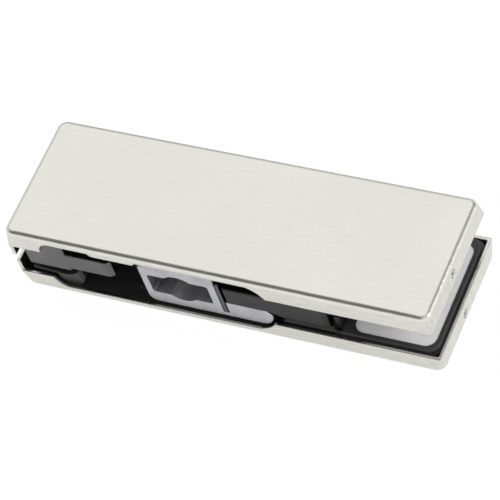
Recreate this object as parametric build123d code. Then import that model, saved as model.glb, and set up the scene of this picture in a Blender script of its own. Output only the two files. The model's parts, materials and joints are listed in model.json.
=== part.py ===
"""Bottom patch fitting: the pivot hinge that carries the lower corner of a frameless glass door.

The fitting lies on its lower cover.  While it is modelled, x runs from the heel (the end at
the door post) to the toe, y from the floor side to the glass side, and z from the lower face
to the upper one.  export_node moves every piece so that the origin is the centre of the
lower face.  All sizes are millimetres.
"""
import os
from build123d import *

# ------------------------------------------------------------------ overall sizes
length = 164.0                # heel to toe
width = 52.0                  # floor side to glass side
height = 32.0                 # lower face to upper face

# ------------------------------------------------------------------ cover caps
sheet = 1.2                   # stainless sheet
cover_depth = 8.3             # face to rim
face_roll = 1.9               # rolled edge round each face
corner_at_face = 4.4          # mitred corners, ground round next to the face
corner_at_rim = 0.5           # and nearly sharp at the rim
ear_slot = 3.9                # gap left between the two heel walls
ear_length = 27.0             # how far the deep part of the heel wall runs back
ear_corner = 3.0
notch_end = 101.65            # floor-side notch that clears the floor spring
notch_toe_run = 6.3           # length of the curve at its toe end
notch_toe_radius = 10.7
lower_notch_start = 13.5
lower_notch_run = 5.2         # length of the curve at its heel end
lower_notch_radius = 5.4
lower_notch_lip = 3.5         # what the notch leaves of the lower cover's wall
upper_notch_start = 12.9
upper_notch_run = 5.0
upper_notch_radius = 5.4
upper_notch_lip = 2.7
tab_start = 33.6              # shallow tab in the upper notch
tab_end = 52.4
tab_rise = 1.4
cover_screw_y = 22.8
cover_screw_z = 4.0
cover_screw_hole = 3.3

# ------------------------------------------------------------------ clamp halves
body_gap = 0.35               # casting to cover wall
body_corner = 3.0
body_top = 7.9                # top of the casting under the glass
core_length = 126.0           # corner that is cut out of the glass: heel to toe
core_width = 27.0             # and floor side to glass side
core_wall = 2.0
floor_thickness = 2.1
clamp_closing = 1.2           # travel of the upper half onto thinner glass
stop_gap = 0.3                # left between the halves when they are closed
base_bevel = 0.5
end_wall_setback = 4.0
rib = 2.2                     # ribs left between the pockets under the casting
pocket_depth = 4.0
pocket_radius = 2.0

# ------------------------------------------------------------------ gaskets and glass pads
gasket_thickness = 1.5
gasket_inset = 0.45           # casting edge to gasket edge
gasket_corner = 4.0
gasket_band = 1.75            # outer band of the gasket
gasket_back_band = 2.6        # band along the glass side
gasket_core_band = 4.0        # bands along the core walls
window_radius = 4.0
pad_gap = 0.05
pad_thickness = 1.2

# ------------------------------------------------------------------ pivot insert
front_setback = 1.6           # front faces of the inner pieces, behind the cover wall
pivot_x = 66.1                # door spindle axis, from the heel
insert_length = 29.6
insert_height = 22.4
insert_depth = 21.4
insert_corner = 3.6
socket_length = 23.8
socket_height = 10.2
socket_bulge = 14.2           # diameter of the round part of the socket
socket_depth = 19.0
socket_draft = 1.5            # degrees
socket_corner = 1.0
socket_blend = 0.4
insert_travel = 5.0           # adjustment towards the heel
slide_clearance = 0.05
plate_slot = 2.1
plate_slot_floor = 1.9        # metal left under the slot
tail_height = 8.2
tail_length = 17.9            # beyond the plate slot
tail_depth = 11.0
tail_nose = 5.2               # round of its lower nose
tail_bevel = 2.2
rail_width = 2.0
rail_places = (6.0, 18.5)     # distance of the slide rails from the floor side

# ------------------------------------------------------------------ retaining plate
plate_thickness = 1.2
plate_depth = 7.0
plate_height = 17.0

# ------------------------------------------------------------------ heel block and its arm
block_start = 4.6
block_length = 17.0
block_height = 14.2
block_back_gap = 1.4           # behind it, to the rear wall of the casting
block_lip = 12.6              # height of its front lower edge
foot_inset = 0.6
arm_end = 39.4
arm_bottom = 14.0
arm_height = 8.0
arm_depth = 6.0
arm_bevel_length = 1.8
arm_bevel_depth = 1.35
edge_break = 0.35

# ------------------------------------------------------------------ heel boss and lug
boss_end = 15.4
boss_start = 5.0
boss_setback = 6.0
boss_top = 10.6
lip_setback = 1.9             # thin lip in front of the boss
lip_height = 10.1             # its top edge at the heel
lip_fall = 0.9                # and what that edge drops by along the boss
lip_thickness = 1.2
lug_depth = 4.4
lug_root = 9.0                # height of the lug where it leaves the boss
lug_root_end = 17.5
lug_tip = (24.4, 12.7)
lug_dip = (21.6, 10.2)        # middle of its hollow top
lug_nose = (25.2, 8.1)
lug_foot = 20.4
lug_nose_radius = 7.0
lug_bevel = 1.1

# ------------------------------------------------------------------ guide bar
bar_gap = 0.8                 # plate slot to bar
bar_end = 122.8
bar_top = 22.0
bar_over_tail = 0.4           # clearance above the tail
bar_seat = 11.2
bar_depth = 8.4
bar_bevel_length = 1.7
bar_bevel_depth = 0.9
bar_step_start = 99.0
bar_step_end = 105.6
seat_setback = 2.4
curb_start = 104.6            # low curb in front of the bar's seat

# ------------------------------------------------------------------ fasteners
clamp_screw_places = {"heel": (13.0, 17.0), "middle": (38.0, 19.0), "toe": (112.0, 18.0)}
clamp_shank = 6.0
clamp_length = 20.0
clamp_head = 10.0
clamp_head_height = 6.0
clamp_key = 5.0
clamp_hole_clearance = 0.3
thread_clearance = 0.05
washer_thickness = 1.0
washer_diameter = 10.2
head_recess = 0.5             # head below the casting's outer face
counterbore_clearance = 0.4
counterbore_floor = 2.5
upper_boss_wall = 1.4
lower_boss_diameter = 10.0
lower_boss_height = 8.7
small_shank = 3.0             # screws of the heel block and guide bar
small_head = 5.5
small_head_height = 3.0
small_key = 2.5
small_screw_grip = 5.0
block_screw_place = (8.4, 9.4)
bar_screw_places = ((108.5, 6.2), (119.0, 6.2))
lock_screw_diameter = 4.0
lock_screw_length = 7.6
lock_screw_key = 2.0
lock_screw_offset = 8.0       # from the start of the guide bar
dowel_diameter = 4.0
dowel_length = 21.0
dowel_places = ((27.6, 20.0), (95.0, 19.5))
dowel_boss_diameter = 8.0
dowel_seat = 4.0
dowel_clearance = 0.05
set_screw_diameter = 3.0
set_screw_length = 4.4
set_screw_key = 1.5
set_screw_recess = 0.15
clinch_nut_diameter = 4.2
clinch_nut_length = 2.0
clinch_pocket_gap = 0.3

# ------------------------------------------------------------------ sizes worked out
mid_height = height / 2
ear_top = mid_height - ear_slot / 2
body_start = sheet + body_gap
floor_top = sheet + floor_thickness
body_toe = length - body_start
body_back = width - body_start
glass_face = body_top + gasket_thickness
wall_top = mid_height - (clamp_closing + stop_gap) / 2
insert_start = pivot_x - insert_length / 2
insert_end = pivot_x + insert_length / 2
insert_bottom = mid_height - insert_height / 2
insert_top = mid_height + insert_height / 2
tail_start = insert_end + plate_slot
tail_end = tail_start + tail_length
tail_top = insert_bottom + tail_height
bar_start = tail_start + bar_gap
casting_outside = height - sheet
counterbore_seat = casting_outside - head_recess - clamp_head_height - washer_thickness
counterbore_radius = clamp_head / 2 + counterbore_clearance
upper_boss_radius = counterbore_radius + upper_boss_wall
lower_boss_top = floor_top + lower_boss_height
small_counterbore_top = sheet + head_recess + small_head_height


# ------------------------------------------------------------------ helpers
def block(x0, x1, y0, y1, z0, z1):
    """Box between two opposite corners."""
    return Pos((x0 + x1) / 2, (y0 + y1) / 2, (z0 + z1) / 2) * Box(x1 - x0, y1 - y0, z1 - z0)


def post(place, radius, z0, z1):
    """Upright cylinder."""
    return Pos(place[0], place[1], (z0 + z1) / 2) * Cylinder(radius, z1 - z0)


def lying_rod(y, z, radius, x0, x1):
    """Cylinder along x."""
    return Pos((x0 + x1) / 2, y, z) * Rot(0, 90, 0) * Cylinder(radius, x1 - x0)


def rounded_plate(x0, x1, y0, y1, z0, z1, radius):
    """Plate with rounded upright corners."""
    outline = Pos((x0 + x1) / 2, (y0 + y1) / 2, z0) * RectangleRounded(x1 - x0, y1 - y0, radius)
    return extrude(outline, z1 - z0)


def side_profile(outline, y0, y1):
    """Solid made by pushing an outline, drawn as (x, z), from y0 to y1."""
    return Pos(0, y0, 0) * extrude(Plane.XZ * make_face(outline), y1 - y0, dir=(0, 1, 0))


def turned_over(shape):
    """The same shape in the other half of the fitting."""
    return mirror(shape, about=Plane.XY.offset(mid_height))


def hex_socket(place, across, z0, z1):
    """Upright hexagonal hole for a key."""
    return extrude(Pos(place[0], place[1], z0) * RegularPolygon(across / 2, 6, major_radius=False),
                   z1 - z0)


# ------------------------------------------------------------------ covers
def pan_block(inset, base):
    """Filled pan: flat walls, corners that are round at the face and sharp at the rim."""
    long_side = length - 2 * inset
    short_side = width - 2 * inset
    centre = (length / 2, width / 2)
    at_face = Pos(*centre, base) * RectangleRounded(long_side, short_side, corner_at_face - inset)
    at_rim = Pos(*centre, cover_depth) * RectangleRounded(long_side, short_side, corner_at_rim)
    return loft([at_face, at_rim], ruled=True)


def heel_ear():
    """Deep part of the heel wall, which closes the end of the inner mechanism."""
    ear = block(0, sheet, corner_at_rim, ear_length, cover_depth, ear_top)
    back_edges = ear.edges().filter_by(Axis.X).group_by(Axis.Y)[-1]
    return fillet(back_edges.sort_by(Axis.Z)[-1], ear_corner)


def front_notch(start, run, radius, lip):
    """Tool for the notch in the floor-side wall, above a lip of the given height."""
    heel_rim = (start, cover_depth)
    heel_foot = (start + run, lip)
    toe_foot = (notch_end - notch_toe_run, lip)
    toe_rim = (notch_end, cover_depth)
    outline = RadiusArc(heel_rim, heel_foot, -radius)
    outline += Line(heel_foot, toe_foot)
    outline += RadiusArc(toe_foot, toe_rim, -notch_toe_radius)
    outline += Polyline(toe_rim, (notch_end, ear_top), (start, ear_top), heel_rim)
    return side_profile(outline, -sheet, sheet + body_gap / 2)


def upper_notch_tab():
    """Shallow tab that stands in the notch of the upper cover."""
    tab = block(tab_start, tab_end, -2 * sheet, 2 * sheet, 0, upper_notch_lip + tab_rise)
    return chamfer(tab.edges().filter_by(Axis.Y).group_by(Axis.Z)[-1], tab_rise * 0.9)


def cover(notch):
    """Cover cap in the lower half's position."""
    outside = pan_block(0, 0)
    shell = fillet(outside.faces().sort_by(Axis.Z)[0].edges(), face_roll)
    shell -= pan_block(sheet, sheet)
    shell += heel_ear()
    shell -= notch
    hole_radius = cover_screw_hole / 2
    return shell - lying_rod(cover_screw_y, cover_screw_z, hole_radius, -1, length + 1)


def cover_nuts():
    """Clinch nuts pressed into the two end walls."""
    ring = lying_rod(cover_screw_y, cover_screw_z, clinch_nut_diameter / 2, sheet,
                     sheet + clinch_nut_length)
    ring -= lying_rod(cover_screw_y, cover_screw_z, set_screw_diameter / 2 + thread_clearance,
                      0, 2 * sheet + clinch_nut_length)
    return [ring, mirror(ring, about=Plane.YZ.offset(length / 2))]


def cover_set_screws():
    """Socket set screws in the clinch nuts."""
    start = set_screw_recess
    screw = lying_rod(cover_screw_y, cover_screw_z, set_screw_diameter / 2, start,
                      start + set_screw_length)
    screw = chamfer(screw.edges().filter_by(GeomType.CIRCLE), 0.25)
    key = Plane.YZ * Pos(cover_screw_y, cover_screw_z, start) * RegularPolygon(
        set_screw_key / 2, 6, major_radius=False)
    screw -= extrude(key, set_screw_length / 2)
    return [screw, mirror(screw, about=Plane.YZ.offset(length / 2))]


# ------------------------------------------------------------------ castings
def under_pockets():
    """Lightening pockets in the outer side of a casting, over the glass zone."""
    pockets = []
    toe_room = body_toe - core_length - 3 * rib
    for column in range(2):
        for row in range(3):
            cell = (body_back - body_start - 4 * rib) / 3
            x0 = core_length + rib + column * (toe_room / 2 + rib / 2)
            y0 = body_start + rib + row * (cell + rib)
            pockets.append((x0, x0 + toe_room / 2 - rib / 2, y0, y0 + cell))
    cells = 5
    cell = (core_length - body_start - (cells + 1) * rib) / cells
    for column in range(cells):
        x0 = body_start + rib + column * (cell + rib)
        pockets.append((x0, x0 + cell, core_width + rib, body_back - rib))
    tools = [rounded_plate(*corners, sheet - 1, sheet + pocket_depth, pocket_radius)
             for corners in pockets]
    return Compound(tools)


def clinch_pockets():
    """Room in the ends of a casting for the cover's clinch nuts, open to the cover side."""
    half = clinch_nut_diameter / 2 + clinch_pocket_gap
    reach = set_screw_recess + set_screw_length + clinch_pocket_gap
    heel = block(0, reach, cover_screw_y - half, cover_screw_y + half, 0, cover_screw_z + half)
    return [heel, mirror(heel, about=Plane.YZ.offset(length / 2))]


def casting():
    """What the two clamp halves have in common, in the lower half's position."""
    plate = rounded_plate(body_start, body_toe, body_start, body_back, sheet, body_top,
                          body_corner)
    plate = chamfer(plate.faces().sort_by(Axis.Z)[0].edges(), base_bevel)
    inner_back = core_width - core_wall
    inner_toe = core_length - core_wall
    plate -= block(-1, inner_toe, -1, inner_back, floor_top, body_top + 1)
    back_wall = block(body_start, core_length, inner_back, core_width, floor_top, wall_top)
    toe_wall = block(inner_toe, core_length, end_wall_setback, core_width, floor_top, wall_top)
    plate += back_wall + toe_wall
    root_edges = plate.edges().filter_by(Axis.X).filter_by(
        lambda edge: abs(edge.center().Z - floor_top) < 0.01 and
        abs(edge.center().Y - inner_back) < 0.01)
    plate = fillet(root_edges, core_wall)
    plate -= under_pockets()
    for pocket in clinch_pockets():
        plate -= pocket
    return plate


def slide_rails():
    """Rails that carry the insert."""
    start = insert_start - insert_travel - rail_width
    end = insert_end + rail_width
    top = insert_bottom - slide_clearance
    rails = [block(start, end, y, y + rail_width, floor_top - 0.5, top) for y in rail_places]
    return rails[0] + rails[1]


def heel_lip():
    """Thin sloping lip that runs along the front of the heel boss."""
    fall = lip_height - lip_fall
    outline = Polyline((boss_start, lip_height), (boss_end, fall),
                       (boss_end, fall - lip_thickness),
                       (boss_start, lip_height - lip_thickness), close=True)
    lip = side_profile(outline, lip_setback, boss_setback + 1)
    front_edges = lip.faces().sort_by(Axis.Y)[0].edges()
    return chamfer(front_edges.sort_by(Axis.Z)[-1], edge_break)


def heel_lug():
    """Lug with a hollow top and a round nose, in front of the heel boss."""
    base = floor_top - 0.5
    outline = Polyline((lug_foot, base), (boss_end - 1, base), (boss_end - 1, lug_root),
                       (lug_root_end, lug_root))
    outline += ThreePointArc((lug_root_end, lug_root), lug_dip, lug_tip)
    outline += Line(lug_tip, lug_nose)
    outline += RadiusArc(lug_nose, (lug_foot, base), lug_nose_radius)
    lug = side_profile(outline, lip_setback, lip_setback + lug_depth)
    front_edges = lug.faces().sort_by(Axis.Y)[0].edges().sort_by(Axis.X)
    return chamfer(front_edges[-1], lug_bevel)


def front_curb():
    """Low curb along the front, from the insert's tail to the gasket."""
    start = body_start + gasket_inset
    curb = block(curb_start, core_length + gasket_inset / 2, start, seat_setback + edge_break,
                 floor_top - 0.5, glass_face)
    return chamfer(curb.edges().filter_by(Axis.X).group_by(Axis.Z)[-1].sort_by(Axis.Y)[0],
                   edge_break)


def lower_body():
    """Lower clamp half: floor, heel boss with lug, tapped bosses, rails and the bar's seat."""
    body = casting()
    body += block(boss_start, boss_end, boss_setback, core_width, sheet, boss_top)
    body += heel_lip()
    body += heel_lug()
    body += slide_rails()
    body += block(bar_step_end, core_length - core_wall, seat_setback,
                  front_setback + bar_depth, sheet, bar_seat)
    body += front_curb()
    for name in ("middle", "toe"):
        body += post(clamp_screw_places[name], lower_boss_diameter / 2, sheet, lower_boss_top)
    for place in dowel_places:
        body += post(place, dowel_boss_diameter / 2, sheet, lower_boss_top)
    for place in clamp_screw_places.values():
        body -= post(place, clamp_shank / 2 + thread_clearance, 0, wall_top)
    for place in dowel_places:
        body -= post(place, dowel_diameter / 2, dowel_seat, wall_top)
    for place in (block_screw_place, *bar_screw_places):
        body -= post(place, small_shank / 2 + clamp_hole_clearance / 2, 0, wall_top)
        body -= post(place, small_head / 2 + clamp_hole_clearance, 0, small_counterbore_top)
    return body


def upper_body():
    """Upper clamp half: ceiling and counterbored bosses."""
    body = turned_over(casting())
    ceiling = height - floor_top
    boss_bottom = counterbore_seat - counterbore_floor
    for place in clamp_screw_places.values():
        body += post(place, upper_boss_radius, boss_bottom, ceiling)
    for place in dowel_places:
        body += post(place, dowel_boss_diameter / 2, height - lower_boss_top, ceiling)
    for place in clamp_screw_places.values():
        body -= post(place, counterbore_radius, counterbore_seat, height)
        body -= post(place, clamp_shank / 2 + clamp_hole_clearance, mid_height, height)
    for place in dowel_places:
        body -= post(place, dowel_diameter / 2 + dowel_clearance, mid_height, height)
    lock = lock_screw_place()
    return body - post(lock, lock_screw_diameter / 2 + clamp_hole_clearance, ceiling - 1, height)


# ------------------------------------------------------------------ gasket and pads
def glass_windows(gap):
    """The gasket's two windows, made smaller all round by the gap."""
    back = body_back - gasket_inset - gasket_back_band
    toe = body_toe - gasket_inset - gasket_band
    front = body_start + gasket_inset + gasket_band
    heel = body_start + gasket_inset + gasket_band
    z0, z1 = body_top, glass_face
    toe_window = rounded_plate(core_length + gasket_core_band + gap, toe - gap, front + gap,
                               back - gap, z0, z1, window_radius - gap)
    back_window = rounded_plate(heel + gap, core_length - gasket_core_band - gap,
                                core_width + gasket_core_band + gap, back - gap,
                                z0, z1, window_radius - gap)
    return toe_window, back_window


def gasket():
    """Gasket in the lower half's position: a frame round the glass zone."""
    start = body_start + gasket_inset
    toe = body_toe - gasket_inset
    back = body_back - gasket_inset
    frame = rounded_plate(start, toe, start, back, body_top, glass_face, gasket_corner)
    edge = gasket_inset / 2
    frame -= block(-1, core_length + edge, -1, core_width + edge, body_top - 1, glass_face + 1)
    for window in glass_windows(0):
        frame -= window
    rim = frame.faces().sort_by(Axis.Z)[-1].outer_wire().edges()
    return chamfer(rim, edge_break)


def glass_pads():
    """Pads that fill the gasket's windows, a little below its top."""
    lid = block(-1, length + 1, -1, width + 1, body_top + pad_thickness, glass_face + 1)
    return [window - lid for window in glass_windows(pad_gap)]


# ------------------------------------------------------------------ pivot insert
def socket_tool():
    """Tapered socket for the floor spring's spindle: a slot with a round middle."""
    slot = RectangleRounded(socket_length, socket_height, socket_corner)
    outline = slot + Circle(socket_bulge / 2)
    blends = outline.vertices().filter_by(lambda corner: abs(corner.X) < socket_length * 0.4)
    outline = fillet(blends, socket_blend)
    opening = Plane((pivot_x, front_setback, mid_height), x_dir=(1, 0, 0), z_dir=(0, -1, 0))
    tool = extrude(opening * outline, -socket_depth, taper=socket_draft)
    return tool


def pivot_insert():
    """Cast insert with the spindle socket and the tail that guides it."""
    front = front_setback
    body = block(insert_start, insert_end, front, front + insert_depth, insert_bottom, insert_top)
    corners = body.edges().filter_by(Axis.Y).group_by(Axis.X)[0]
    body = fillet(corners, insert_corner)
    top_toe = body.edges().filter_by(Axis.Y).group_by(Axis.X)[-1].sort_by(Axis.Z)[-1]
    body = fillet(top_toe, insert_corner / 2)
    tail = block(insert_end - 1, tail_end, front, front + tail_depth, insert_bottom, tail_top)
    nose = tail.edges().filter_by(Axis.Y).group_by(Axis.X)[-1].sort_by(Axis.Z)
    tail = fillet(nose[0], tail_nose)
    bevel = tail.edges().filter_by(Axis.Y).group_by(Axis.Z)[-1].sort_by(Axis.X)[-1]
    tail = chamfer(bevel, tail_bevel)
    body += tail
    slot_bottom = insert_bottom + plate_slot_floor
    slot_back = front + plate_depth + 2 * slide_clearance
    body -= block(insert_end, tail_start, -1, slot_back, slot_bottom, insert_top + 1)
    body -= socket_tool()
    front_face = body.faces().filter_by(Axis.Y).sort_by(Axis.Y)[0]
    return chamfer(front_face.outer_wire().edges(), edge_break)


def retaining_plate():
    """Thin plate that stands in the insert's slot."""
    start = tail_start - plate_thickness - slide_clearance * 6
    bottom = insert_bottom + plate_slot_floor
    plate = block(start, start + plate_thickness, front_setback, front_setback + plate_depth,
                  bottom, bottom + plate_height)
    return chamfer(plate.edges().filter_by(Axis.X), edge_break)


# ------------------------------------------------------------------ heel block and guide bar
def heel_block():
    """Block over the heel boss, with the arm that points at the insert."""
    block_end = block_start + block_length
    block_top = block_lip + block_height
    back = core_width - core_wall - block_back_gap
    body = block(block_start, block_end, front_setback, back, block_lip, block_top)
    arm = block(block_end - 1, arm_end, front_setback, front_setback + arm_depth,
                arm_bottom, arm_bottom + arm_height)
    corner = arm.edges().filter_by(Axis.Z).group_by(Axis.X)[-1].sort_by(Axis.Y)[0]
    toe_face = arm.faces().sort_by(Axis.X)[-1]
    arm = chamfer(corner, arm_bevel_depth, arm_bevel_length, reference=toe_face)
    body += arm
    foot = block(boss_start + foot_inset, boss_end - foot_inset, boss_setback + foot_inset,
                 back, boss_top, block_lip)
    body += foot
    place = clamp_screw_places["heel"]
    pocket_floor = counterbore_seat - counterbore_floor - clamp_closing - stop_gap
    body -= post(place, upper_boss_radius + clamp_hole_clearance, pocket_floor, height)
    body -= post(place, clamp_shank / 2 + clamp_hole_clearance, 0, height)
    body -= post(block_screw_place, small_shank / 2 + thread_clearance, boss_top,
                 boss_top + small_screw_grip + edge_break)
    front_face = body.faces().filter_by(Axis.Y).sort_by(Axis.Y)[0]
    return chamfer(front_face.outer_wire().edges(), edge_break)


def lock_screw_place():
    """Where the set screw that locks the insert stands."""
    return (bar_start + lock_screw_offset, front_setback + bar_depth / 2)


def guide_bar():
    """Bar over the insert's tail."""
    bottom = tail_top + bar_over_tail
    outline = Polyline((bar_start, bottom), (bar_step_start, bottom),
                       (bar_step_end, bar_seat), (bar_end, bar_seat),
                       (bar_end, bar_top), (bar_start, bar_top), close=True)
    bar = side_profile(outline, front_setback, front_setback + bar_depth)
    corner = bar.edges().filter_by(Axis.Z).group_by(Axis.X)[-1].sort_by(Axis.Y)[0]
    toe_face = bar.faces().sort_by(Axis.X)[-1]
    bar = chamfer(corner, bar_bevel_depth, bar_bevel_length, reference=toe_face)
    bar -= post(lock_screw_place(), lock_screw_diameter / 2 + thread_clearance, 0, height)
    for place in bar_screw_places:
        bar -= post(place, small_shank / 2 + thread_clearance, bar_seat - 1,
                    bar_seat + small_screw_grip + edge_break)
    front_face = bar.faces().filter_by(Axis.Y).sort_by(Axis.Y)[0]
    return chamfer(front_face.outer_wire().edges(), edge_break)


# ------------------------------------------------------------------ fasteners
def cap_screw(place, head_base, shank, reach, head, head_height, key):
    """Socket cap screw with its head up."""
    crown = post(place, head / 2, head_base, head_base + head_height)
    crown = chamfer(crown.edges().filter_by(GeomType.CIRCLE).sort_by(Axis.Z)[-1], head * 0.05)
    stem = post(place, shank / 2, head_base - reach, head_base)
    stem = chamfer(stem.edges().filter_by(GeomType.CIRCLE).sort_by(Axis.Z)[0], shank * 0.12)
    top = head_base + head_height
    return crown + stem - hex_socket(place, key, top - head_height * 0.6, top + 1)


def clamp_screw(place):
    """Cap screw that pulls the two halves together."""
    return cap_screw(place, counterbore_seat + washer_thickness, clamp_shank, clamp_length,
                     clamp_head, clamp_head_height, clamp_key)


def clamp_washer(place):
    """Washer under a clamp screw's head."""
    z0 = counterbore_seat
    ring = post(place, washer_diameter / 2, z0, z0 + washer_thickness)
    return ring - post(place, clamp_shank / 2 + clamp_hole_clearance / 2, z0 - 1, z0 + 2)


def small_screw(place, seat):
    """Screw that comes up through the lower casting into a block or bar."""
    reach = seat + small_screw_grip - small_counterbore_top
    upright = cap_screw(place, -small_counterbore_top, small_shank, reach, small_head,
                        small_head_height, small_key)
    return mirror(upright, about=Plane.XY)


def lock_screw():
    """Set screw whose tip bears on the insert's tail."""
    place = lock_screw_place()
    z0 = tail_top + slide_clearance
    screw = post(place, lock_screw_diameter / 2, z0, z0 + lock_screw_length)
    screw = chamfer(screw.edges().filter_by(GeomType.CIRCLE), edge_break)
    top = z0 + lock_screw_length
    return screw - hex_socket(place, lock_screw_key, top - 3, top + 1)


def dowel(place):
    """Dowel pin that lines the two halves up."""
    pin = post(place, dowel_diameter / 2, dowel_seat, dowel_seat + dowel_length)
    return chamfer(pin.edges().filter_by(GeomType.CIRCLE), edge_break)


# ------------------------------------------------------------------ nodes
def export_node(name, *solids):
    """Write one node, moved so that the origin is the centre of the lower face."""
    shift = Pos(-length / 2, -width / 2, 0)
    pieces = [solid for shape in solids for solid in (shift * shape).solids()]
    node = pieces[0] if len(pieces) == 1 else Compound(children=pieces)
    export_step(node, "parts/" + name + ".step")


def main():
    os.makedirs("parts", exist_ok=True)
    lower_notch = front_notch(lower_notch_start, lower_notch_run, lower_notch_radius,
                              lower_notch_lip)
    export_node("lower_cover", cover(lower_notch))
    upper_notch = front_notch(upper_notch_start, upper_notch_run, upper_notch_radius,
                              upper_notch_lip) - upper_notch_tab()
    export_node("upper_cover", turned_over(cover(upper_notch)))
    export_node("lower_cover_nuts", *cover_nuts())
    export_node("upper_cover_nuts", *[turned_over(nut) for nut in cover_nuts()])
    export_node("lower_cover_screws", *cover_set_screws())
    export_node("upper_cover_screws", *[turned_over(screw) for screw in cover_set_screws()])
    export_node("lower_body", lower_body())
    export_node("upper_body", upper_body())
    export_node("lower_gasket", gasket())
    export_node("upper_gasket", turned_over(gasket()))
    export_node("lower_glass_pads", *glass_pads())
    export_node("upper_glass_pads", *[turned_over(pad) for pad in glass_pads()])
    export_node("pivot_insert", pivot_insert())
    export_node("retaining_plate", retaining_plate())
    export_node("heel_block", heel_block())
    export_node("guide_bar", guide_bar())
    for name, place in clamp_screw_places.items():
        export_node("clamp_screw_" + name, clamp_screw(place))
        export_node("clamp_washer_" + name, clamp_washer(place))
    export_node("heel_block_screw", small_screw(block_screw_place, boss_top))
    export_node("guide_bar_screws", *[small_screw(place, bar_seat) for place in bar_screw_places])
    export_node("insert_lock_screw", lock_screw())
    export_node("dowel_pins", *[dowel(place) for place in dowel_places])


main()
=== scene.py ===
"""Looks of the bottom patch fitting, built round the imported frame.  Metres, +Z up."""
import json

import bpy
from mathutils import Matrix, Vector

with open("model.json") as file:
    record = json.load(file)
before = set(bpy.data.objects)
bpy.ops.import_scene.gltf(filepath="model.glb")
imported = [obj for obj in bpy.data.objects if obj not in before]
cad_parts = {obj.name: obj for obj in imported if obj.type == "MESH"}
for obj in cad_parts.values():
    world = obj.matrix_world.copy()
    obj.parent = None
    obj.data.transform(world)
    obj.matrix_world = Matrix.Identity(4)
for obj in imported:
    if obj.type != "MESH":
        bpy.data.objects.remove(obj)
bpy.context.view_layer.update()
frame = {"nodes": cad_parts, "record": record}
nodes = frame["nodes"]


# ---------------------------------------------------------------- node helpers
class Tree:
    """Small helper round a material's node tree."""

    def __init__(self, name):
        self.material = bpy.data.materials.new(name)
        self.material.use_nodes = True
        self.nodes = self.material.node_tree.nodes
        self.links = self.material.node_tree.links
        self.shader = self.nodes["Principled BSDF"]
        self.place = self.nodes.new("ShaderNodeTexCoord").outputs["Object"]

    def link(self, source, target):
        self.links.new(source, target)

    def set(self, **values):
        names = {"metal": "Metallic", "rough": "Roughness", "specular": "Specular IOR Level"}
        for key, value in values.items():
            self.shader.inputs[names[key]].default_value = value

    def scaled(self, x, y, z):
        node = self.nodes.new("ShaderNodeMapping")
        node.inputs["Scale"].default_value = (x, y, z)
        self.link(self.place, node.inputs["Vector"])
        return node.outputs["Vector"]

    def noise(self, vector, scale=1.0, detail=3.0, rough=0.55):
        node = self.nodes.new("ShaderNodeTexNoise")
        node.inputs["Scale"].default_value = scale
        node.inputs["Detail"].default_value = detail
        node.inputs["Roughness"].default_value = rough
        self.link(vector, node.inputs["Vector"])
        return node.outputs["Fac"]

    def range(self, value, low, high, new_low, new_high):
        node = self.nodes.new("ShaderNodeMapRange")
        node.inputs["From Min"].default_value = low
        node.inputs["From Max"].default_value = high
        node.inputs["To Min"].default_value = new_low
        node.inputs["To Max"].default_value = new_high
        self.link(value, node.inputs["Value"])
        return node.outputs["Result"]

    def math(self, operation, first, second):
        node = self.nodes.new("ShaderNodeMath")
        node.operation = operation
        for socket, value in zip(node.inputs, (first, second)):
            if isinstance(value, (int, float)):
                socket.default_value = value
            else:
                self.link(value, socket)
        return node.outputs["Value"]

    def mix(self, factor, first, second):
        node = self.nodes.new("ShaderNodeMix")
        node.data_type = "RGBA"
        for socket, value in ((node.inputs["Factor"], factor), (node.inputs[6], first),
                              (node.inputs[7], second)):
            if isinstance(value, (tuple, int, float)):
                socket.default_value = value
            else:
                self.link(value, socket)
        return node.outputs[2]

    def rounded(self, radius, samples):
        """Normal with the edges rounded by a radius in metres."""
        node = self.nodes.new("ShaderNodeBevel")
        node.samples = samples
        node.inputs["Radius"].default_value = radius
        return node.outputs["Normal"]

    def bump(self, height, strength, distance, rounding=0.0):
        node = self.nodes.new("ShaderNodeBump")
        if rounding:
            self.link(self.rounded(rounding, 6), node.inputs["Normal"])
        node.inputs["Strength"].default_value = strength
        node.inputs["Distance"].default_value = distance
        self.link(height, node.inputs["Height"])
        self.link(node.outputs["Normal"], self.shader.inputs["Normal"])

    def lean(self, axis, normal=None):
        """How far the normal points along an axis, either way."""
        if normal is None:
            normal = self.nodes.new("ShaderNodeNewGeometry").outputs["Normal"]
        split = self.nodes.new("ShaderNodeSeparateXYZ")
        self.link(normal, split.inputs["Vector"])
        return self.math("ABSOLUTE", split.outputs[axis], 0.0)

    def facing_end(self):
        """1 on faces that look along x, 0 on the others."""
        return self.range(self.lean("X"), 0.70, 0.74, 0.0, 1.0)

    def upright_face(self):
        """1 on walls, 0 on faces that look up or down."""
        return self.range(self.lean("Z"), 0.5, 0.2, 0.0, 1.0)

    def hollow(self, distance, low, high):
        """0 in deep hollows to 1 in the open."""
        node = self.nodes.new("ShaderNodeAmbientOcclusion")
        node.samples = 6
        node.inputs["Distance"].default_value = distance
        return self.range(node.outputs["AO"], low, high, 0.0, 1.0)

    def roll_line(self, radius):
        """1 on the part of a rolled edge next to the flat face, 0 elsewhere."""
        upright = self.lean("Z", self.rounded(radius, 8))
        return self.math("MULTIPLY", self.range(upright, 0.999, 0.97, 0.0, 1.0),
                         self.range(upright, 0.62, 0.80, 0.0, 1.0))


def grey(value, warm=0.0):
    """A grey whose blue alone is lowered (warm) or raised (cold)."""
    return (value, value, value * (1 - warm), 1.0)


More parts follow.
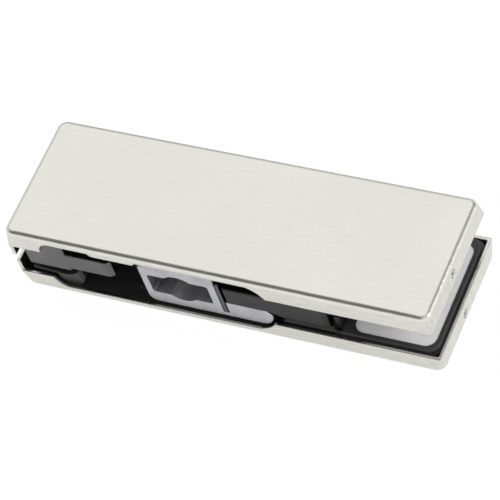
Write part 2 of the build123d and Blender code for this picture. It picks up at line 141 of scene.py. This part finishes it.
def brushed(name, light, dark, rough, grain=3000.0, warm=0.006, painted_roll_shade=0.0):
    """Brushed sheet: streaks along the length, upright on the end walls, a dark reflection band painted on
    the rolled edges and darker streaks painted on the walls.
    """
    tree = Tree(name)
    along = tree.noise(tree.scaled(130.0, grain, grain), detail=3.0, rough=0.7)
    upright = tree.noise(tree.scaled(grain, grain, 130.0), detail=3.0, rough=0.7)
    end = tree.facing_end()
    streaks = tree.math("ADD", tree.math("MULTIPLY", upright, end),
                        tree.math("MULTIPLY", along, tree.math("SUBTRACT", 1.0, end)))
    cloud = tree.noise(tree.place, scale=22.0, detail=2.0)
    tone = tree.math("ADD", tree.math("MULTIPLY", streaks, 0.75),
                     tree.math("MULTIPLY", cloud, 0.25))
    colour = tree.mix(tree.range(tone, 0.36, 0.64, 0.0, 1.0), grey(dark, warm), grey(light, warm))
    if painted_roll_shade:
        # brushing grain, made darker on the walls alone as a painted reflection of streaks
        grain_and_painted_reflection = tree.range(streaks, 0.42, 0.60, 0.30, 0.0)
        colour = tree.mix(tree.math("MULTIPLY", grain_and_painted_reflection, tree.upright_face()), colour,
                          grey(dark * 0.62, warm))
        # painted reflection: a dark brownish band on the rolled edge next to the flat face, standing in
        # for the dark room seen in it
        shaded = tree.math("MULTIPLY", tree.roll_line(0.0009), painted_roll_shade)
        colour = tree.mix(shaded, colour, (dark * 0.36, dark * 0.34, dark * 0.30, 1.0))
    tree.link(colour, tree.shader.inputs["Base Color"])
    tree.link(tree.range(streaks, 0.3, 0.7, rough - 0.05, rough + 0.07),
              tree.shader.inputs["Roughness"])
    tree.set(metal=1.0)
    tree.bump(streaks, 0.10, 0.0001, rounding=0.0007)
    return tree.material


def cast(name, light, dark, rough, metal, grain=1500.0, strength=0.5, depth=0.00015,
         warm=0.0, shade=0.0):
    """Casting: grains of sand, pits and slow changes of tone, with shade painted into hollows, darker by
    `shade`.
    """
    tree = Tree(name)
    fine = tree.noise(tree.place, scale=grain, detail=5.0, rough=0.7)
    slow = tree.noise(tree.place, scale=90.0, detail=3.0)
    tone = tree.math("ADD", tree.math("MULTIPLY", fine, 0.6), tree.math("MULTIPLY", slow, 0.4))
    colour = tree.mix(tree.range(tone, 0.35, 0.65, 0.0, 1.0), grey(dark, warm), grey(light, warm))
    if shade:
        # painted shade: the colour goes toward near-black in hollows found by ambient occlusion, standing
        # in for shadow in the socket and corners
        deep = tree.math("SUBTRACT", 1.0, tree.hollow(0.008, 0.3, 0.8))
        colour = tree.mix(tree.math("MULTIPLY", deep, shade), colour, grey(dark * 0.12, warm))
    tree.link(colour, tree.shader.inputs["Base Color"])
    tree.link(tree.range(fine, 0.3, 0.7, rough - 0.06, rough + 0.10),
              tree.shader.inputs["Roughness"])
    tree.set(metal=metal)
    tree.bump(fine, strength, depth, rounding=0.00035)
    return tree.material


def rubber(name, light, dark, rough):
    """Moulded rubber: fine matt grain with a faint bloom."""
    tree = Tree(name)
    fine = tree.noise(tree.place, scale=3200.0, detail=3.0)
    slow = tree.noise(tree.place, scale=60.0, detail=3.0)
    colour = tree.mix(tree.range(slow, 0.35, 0.65, 0.0, 1.0), grey(dark), grey(light))
    tree.link(colour, tree.shader.inputs["Base Color"])
    tree.link(tree.range(fine, 0.3, 0.7, rough - 0.08, rough + 0.08),
              tree.shader.inputs["Roughness"])
    tree.set(specular=0.35)
    tree.bump(fine, 0.25, 0.00006)
    return tree.material


materials = {
    "brushed_stainless": brushed("brushed_stainless", 0.88, 0.775, 0.22, warm=0.075, painted_roll_shade=0.45),
    "stainless_screw": brushed("stainless_screw", 0.80, 0.60, 0.20, grain=4000.0),
    "zinc_steel": cast("zinc_steel", 0.62, 0.52, 0.30, 1.0, grain=2500.0, strength=0.15),
    "black_casting": cast("black_casting", 0.030, 0.016, 0.34, 0.0, strength=0.25),
    "dark_casting": cast("dark_casting", 0.185, 0.125, 0.32, 1.0, grain=1100.0, strength=0.6,
                         shade=0.5),
    "black_bar": cast("black_bar", 0.056, 0.036, 0.36, 1.0, strength=0.4),
    "silver_casting": cast("silver_casting", 0.76, 0.46, 0.34, 1.0, strength=1.0, depth=0.0002, warm=-0.03,
                           shade=0.9),
    "dark_spring_steel": cast("dark_spring_steel", 0.16, 0.10, 0.30, 1.0, strength=0.1),
    "black_steel": cast("black_steel", 0.035, 0.02, 0.35, 1.0, strength=0.1),
    "gasket_rubber": rubber("gasket_rubber", 0.045, 0.030, 0.36),
    "glass_pad": rubber("glass_pad", 0.90, 0.84, 0.30),
}
slots = {part["node"]: part["material_slot"] for part in frame["record"]["subparts"]}
for name, thing in nodes.items():
    for slot in thing.material_slots:
        slot.material = materials[slots[name]]


# ---------------------------------------------------------------- stage, light and camera
SEEN_WHITE = 1.05        # strength at which the background is white in the picture
FLOOR_SEEN = 0.9         # share of the floor's white that the camera sees, the rest is shaded
WORLD_LEVEL = 0.95


def pale_floor():
    """Pale matt floor whose shadows are faint in the picture."""
    tree = Tree("pale_floor")
    fine = tree.noise(tree.place, scale=400.0, detail=2.0)
    tree.link(tree.mix(fine, grey(0.91), grey(0.93)), tree.shader.inputs["Base Color"])
    tree.set(rough=0.9, specular=0.1)
    path = tree.nodes.new("ShaderNodeLightPath").outputs
    white = tree.nodes.new("ShaderNodeEmission")
    white.inputs["Strength"].default_value = SEEN_WHITE
    blend = tree.nodes.new("ShaderNodeMixShader")
    split = tree.nodes.new("ShaderNodeSeparateXYZ")
    tree.link(tree.place, split.inputs["Vector"])
    # painted shadow: the share of white that reflections see falls from 0.50 to 0.24 beyond the toe end (x
    # 0.07 to 0.11 m), in place of the object's shadow on the floor
    reflected_white_painted_shadow = tree.range(split.outputs["X"], 0.07, 0.11, 0.50, 0.24)
    seen = tree.math("ADD", tree.math("MULTIPLY", path["Is Camera Ray"], FLOOR_SEEN),
                     tree.math("MULTIPLY", path["Is Glossy Ray"], reflected_white_painted_shadow))
    tree.link(seen, blend.inputs["Fac"])
    tree.link(tree.shader.outputs["BSDF"], blend.inputs[1])
    tree.link(white.outputs["Emission"], blend.inputs[2])
    tree.link(blend.outputs["Shader"], tree.nodes["Material Output"].inputs["Surface"])
    return tree.material


bpy.ops.mesh.primitive_plane_add(size=6.0, location=(0, 0, -0.0002))
floor = bpy.context.object
floor.name = "floor"
floor.data.materials.append(pale_floor())

# even studio light from the world, with dark places where the room is unlit
world = bpy.data.worlds.new("studio")
bpy.context.scene.world = world
world.use_nodes = True
wn, wl = world.node_tree.nodes, world.node_tree.links
back = wn["Background"]
back.inputs["Color"].default_value = (1, 1, 1, 1)
outward = wn.new("ShaderNodeTexCoord").outputs["Generated"]


def unlit(direction, start, full, depth):
    """Factor of the light that falls to `depth` round one direction."""
    toward = wn.new("ShaderNodeVectorMath")
    toward.operation = "DOT_PRODUCT"
    toward.inputs[1].default_value = Vector(direction).normalized()
    wl.new(outward, toward.inputs[0])
    fall = wn.new("ShaderNodeMapRange")
    fall.interpolation_type = "SMOOTHSTEP"
    for key, value in (("From Min", start), ("From Max", full), ("To Min", 1.0), ("To Max", depth)):
        fall.inputs[key].default_value = value
    wl.new(toward.outputs["Value"], fall.inputs["Value"])
    return fall.outputs["Result"]


level = WORLD_LEVEL
for factor in (unlit((-0.40, -0.34, 0.85), 0.78, 0.97, 0.22),
               unlit((0.30, 0.68, 0.67), 0.90, 0.98, 0.40),
               unlit((-0.60, 0.80, 0.02), 0.90, 0.98, 0.50)):
    product = wn.new("ShaderNodeMath")
    product.operation = "MULTIPLY"
    if isinstance(level, float):
        product.inputs[0].default_value = level
    else:
        wl.new(level, product.inputs[0])
    wl.new(factor, product.inputs[1])
    level = product.outputs["Value"]
seen = wn.new("ShaderNodeMix")
seen.data_type = "FLOAT"
wl.new(wn.new("ShaderNodeLightPath").outputs["Is Camera Ray"], seen.inputs["Factor"])
wl.new(level, seen.inputs[2])
seen.inputs[3].default_value = SEEN_WHITE
wl.new(seen.outputs[0], back.inputs["Strength"])


def softbox(name, location, target, size, power):
    data = bpy.data.lights.new(name, "AREA")
    data.shape = "SQUARE"
    data.size = size
    data.energy = power
    lamp = bpy.data.objects.new(name, data)
    bpy.context.collection.objects.link(lamp)
    lamp.location = location
    aim = Vector(target) - Vector(location)
    lamp.rotation_euler = aim.to_track_quat("-Z", "Y").to_euler()


softbox("key", (1.05, 0.30, 0.85), (0, 0, 0), 0.45, 3.5)

camera_data = bpy.data.cameras.new("camera")
camera = bpy.data.objects.new("camera", camera_data)
bpy.context.collection.objects.link(camera)
bpy.context.scene.camera = camera
camera_data.sensor_width = 36.0
camera_data.lens = 208.425
camera_data.clip_start = 0.05
camera_data.clip_end = 20.0
# turn and shift (mm) of the fitted camera, in the heel's coordinates
turn = Vector((2.50334033, 0.401520851, -0.456078814))
shift = Vector((-80.7160944, 12.0056712, 1051.93304))
to_camera = Matrix.Rotation(turn.length, 3, turn.normalized())
place = -(to_camera.transposed() @ shift) - Vector((82.0, 26.0, 0.0))
flip = Matrix(((1, 0, 0), (0, -1, 0), (0, 0, -1)))
camera.matrix_world = Matrix.Translation(place / 1000.0) @ (
    to_camera.transposed() @ flip).to_4x4()

view = bpy.context.scene.view_settings
view.view_transform = "Standard"
view.look = "None"
view.exposure = 0.0
view.gamma = 1.0
